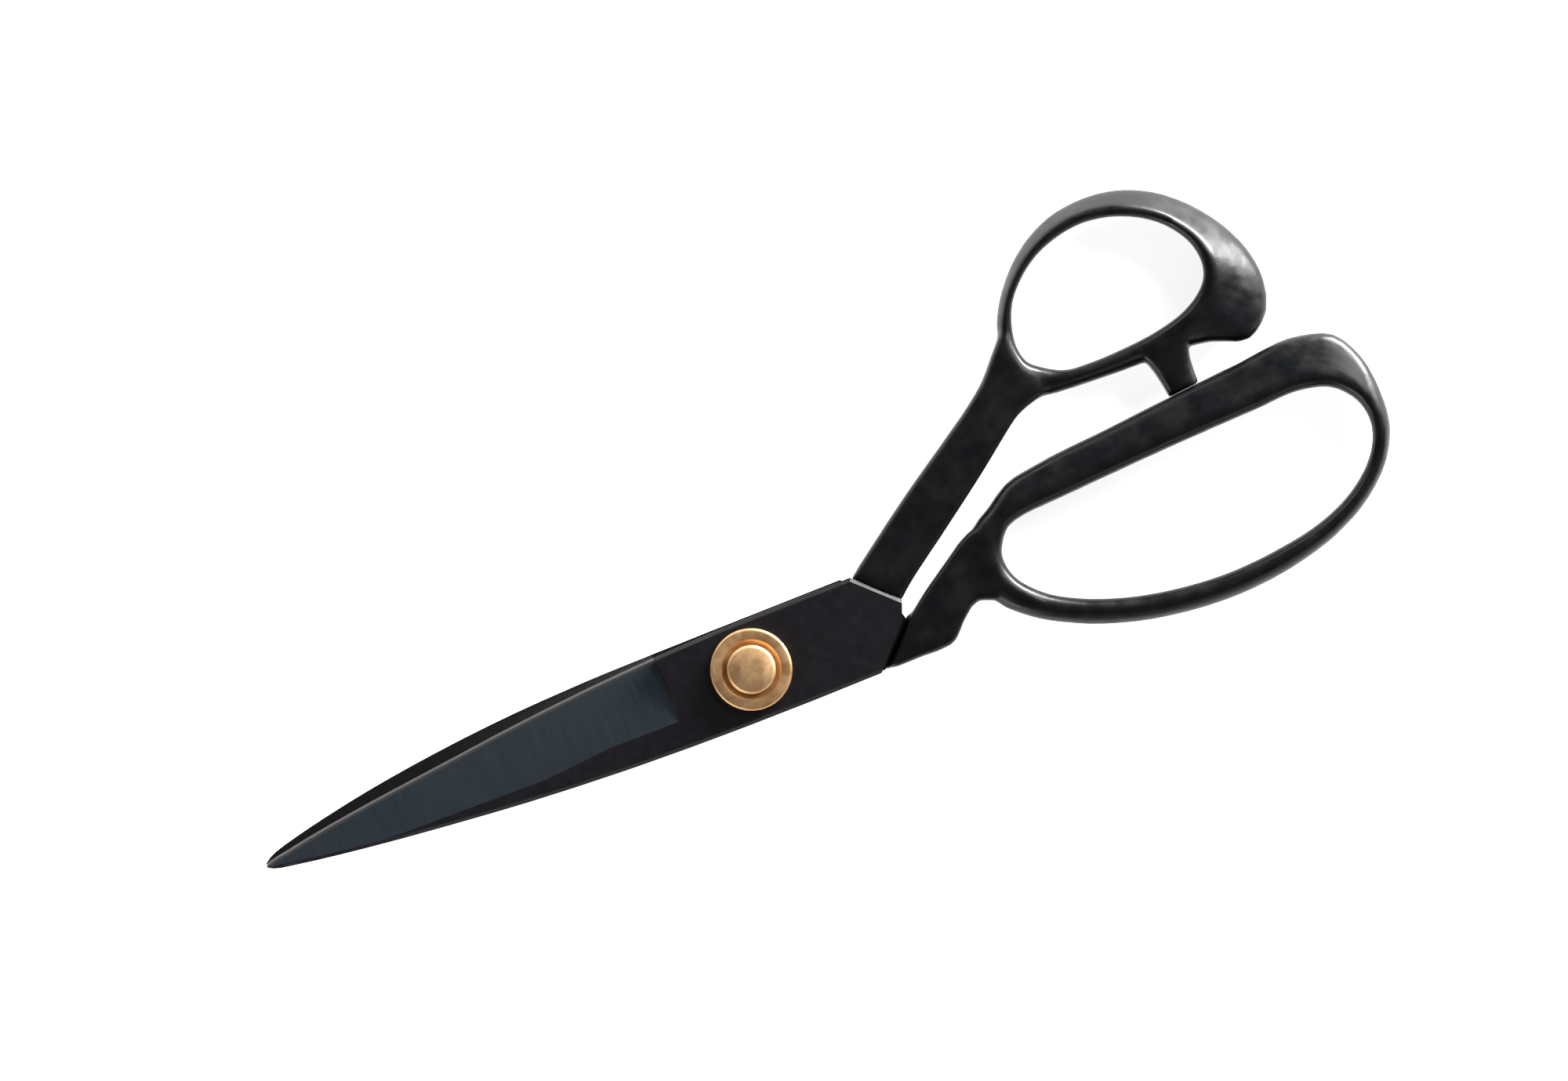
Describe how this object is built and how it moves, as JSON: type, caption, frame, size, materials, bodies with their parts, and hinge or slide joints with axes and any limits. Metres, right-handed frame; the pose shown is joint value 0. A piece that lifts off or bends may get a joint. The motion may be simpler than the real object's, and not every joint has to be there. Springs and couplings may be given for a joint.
{
  "type": "fabric shears",
  "caption": "Bent-handle tailor's shears, closed: two blackened steel blades on a brass pivot bolt, a round thumb ring with a stop lug, and a long finger bow.",
  "frame": {"origin": "on the pivot's axis, at the end face of the pivot bolt, which is in the plane that the closed shears lie on", "axes": "+X from the blade tips to the handles, +Y towards the thumb ring, +Z along the pivot, out of the face that shows the bolt's head"},
  "size_m": [0.2031, 0.0716, 0.0137],
  "materials": {
    "blade_black": "satin black coating over ground steel, bluish grey on the ground bevel",
    "cutting_steel": "bare ground steel at the edge, blackened elsewhere",
    "handle_black": "smooth satin black enamel with a faint orange peel",
    "pivot_brass": "satin brass, turned, slightly darkened in the recess",
    "spring_steel": "plain spring steel"
  },
  "bodies": {
    "finger_half": {"finger_blade": "blade_black", "finger_cutting_steel": "cutting_steel", "finger_handle": "handle_black", "pivot_bolt": "pivot_brass", "front_washer": "pivot_brass", "back_washer": "pivot_brass", "lock_washer": "spring_steel"},
    "thumb_half": {"thumb_blade": "blade_black", "thumb_cutting_steel": "cutting_steel", "thumb_handle": "handle_black"},
    "tension_nut": {"pivot_nut": "pivot_brass"}
  },
  "joints": [
    {"name": "blade_pivot", "type": "hinge", "parent": "finger_half", "child": "thumb_half", "pos_m": [0, 0, 0.00775], "axis": [0, 0, 1], "range_deg": [0, 135]},
    {"name": "nut_turn", "type": "hinge", "parent": "finger_half", "child": "tension_nut", "pos_m": [0, 0, 0.0014], "axis": [0, 0, 1], "range_deg": [-180, 60]}
  ]
}
